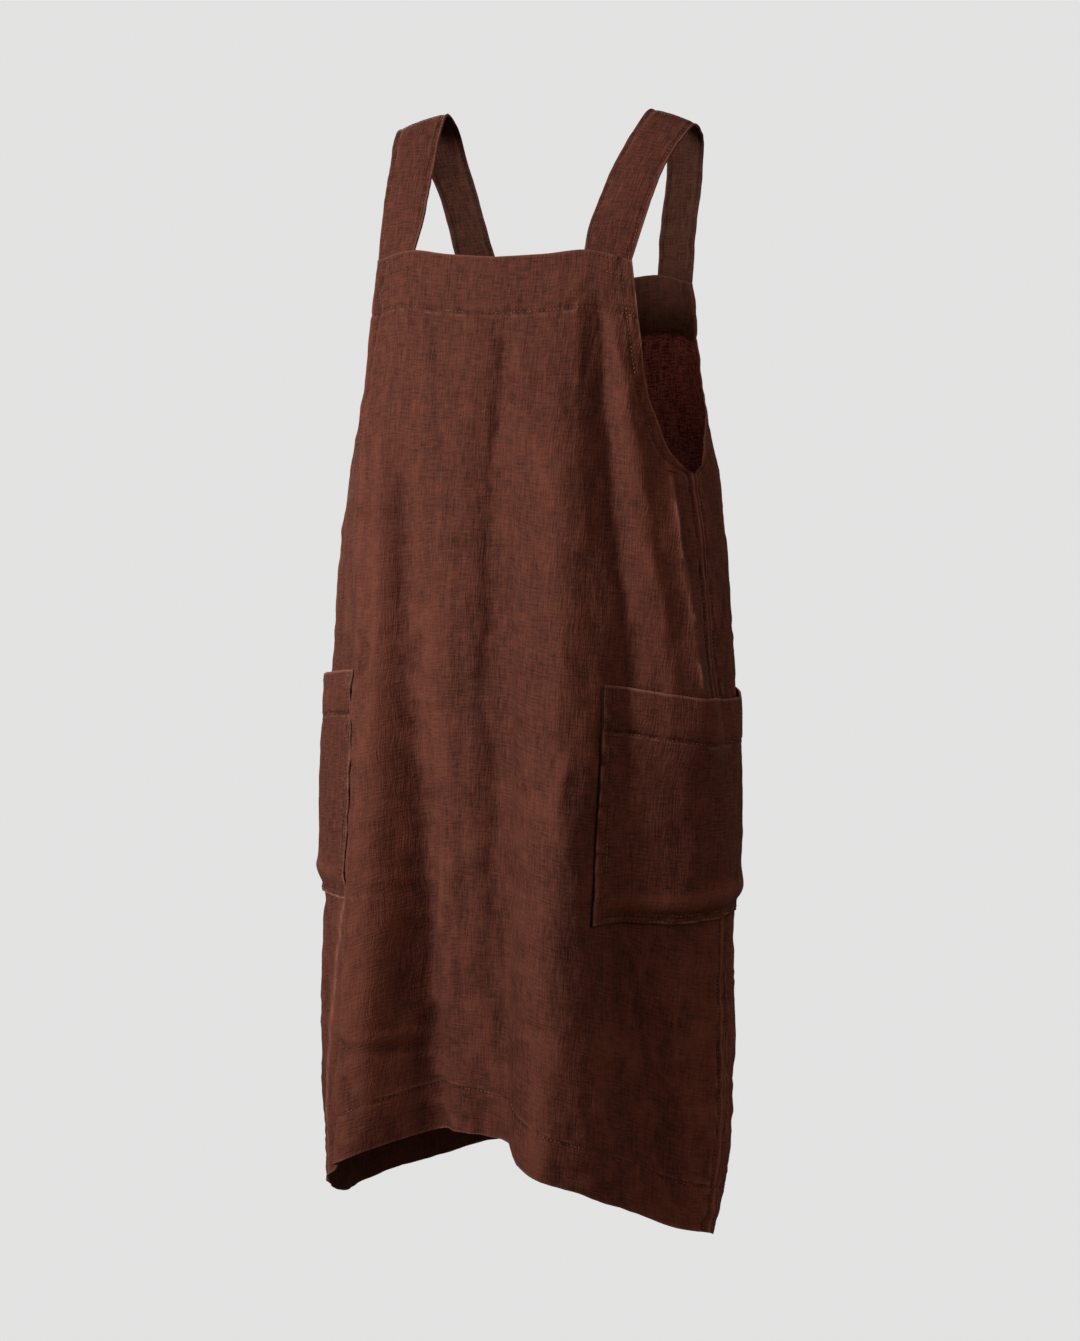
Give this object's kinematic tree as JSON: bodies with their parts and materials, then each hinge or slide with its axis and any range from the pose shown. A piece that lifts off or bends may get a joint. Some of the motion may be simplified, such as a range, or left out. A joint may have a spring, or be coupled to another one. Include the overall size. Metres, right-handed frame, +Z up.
{
  "type": "pinafore dress",
  "caption": "Sleeveless linen pinafore dress: square bib, shoulder straps, deep armholes, arched hem and patch pockets wrapped round the side seams, held open and hollow.",
  "frame": {"origin": "where the wearer's shoulders carry the dress, midway between the undersides of the two straps at their crests", "axes": "+Z up along the body, -Y towards the front of the dress, +X towards the wearer's left"},
  "size_m": [0.3974, 0.307, 0.997],
  "materials": {
    "linen": "matt washed linen, red-brown, plain weave",
    "linen_inside": "matt washed linen, red-brown, inner side"
  },
  "bodies": {
    "root": {"front": "linen", "back": "linen", "front_band": "linen_inside", "back_band": "linen_inside", "strap_left": "linen", "strap_right": "linen", "pocket_left": "linen", "pocket_right": "linen"}
  },
  "joints": []
}
